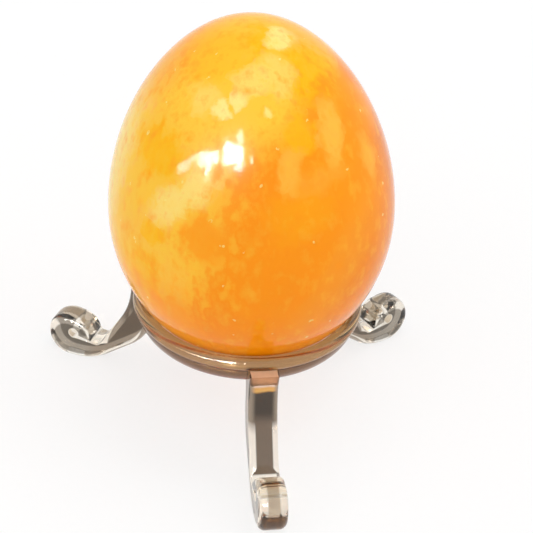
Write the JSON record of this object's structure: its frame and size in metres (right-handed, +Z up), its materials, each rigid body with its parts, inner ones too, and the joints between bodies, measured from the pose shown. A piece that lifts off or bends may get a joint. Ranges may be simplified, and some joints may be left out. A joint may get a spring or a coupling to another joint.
{
  "type": "decorative egg on stand",
  "caption": "Polished stone egg resting loose in a clear collar ring that scroll-ended legs carry; the egg lifts out.",
  "frame": {"origin": "on the ground, at the middle of the bottom of the box that holds the whole ornament", "axes": "+Z up, one leg points along -Y, +X to the right when that leg faces the viewer"},
  "size_m": [0.0706, 0.0644, 0.0782],
  "materials": {
    "orange_stone": "polished, glossy, translucent banded calcite",
    "clear_acrylic": "clear with a faint smoky tint, moulded, glossy"
  },
  "bodies": {
    "stand": {"collar_ring": "clear_acrylic", "leg_front": "clear_acrylic", "leg_right": "clear_acrylic", "leg_left": "clear_acrylic"},
    "egg": {"egg": "orange_stone"}
  },
  "joints": [
    {"name": "egg_lift", "type": "slide", "parent": "stand", "child": "egg", "axis": [0, 0, 1], "range_m": [0, 0.06]}
  ]
}
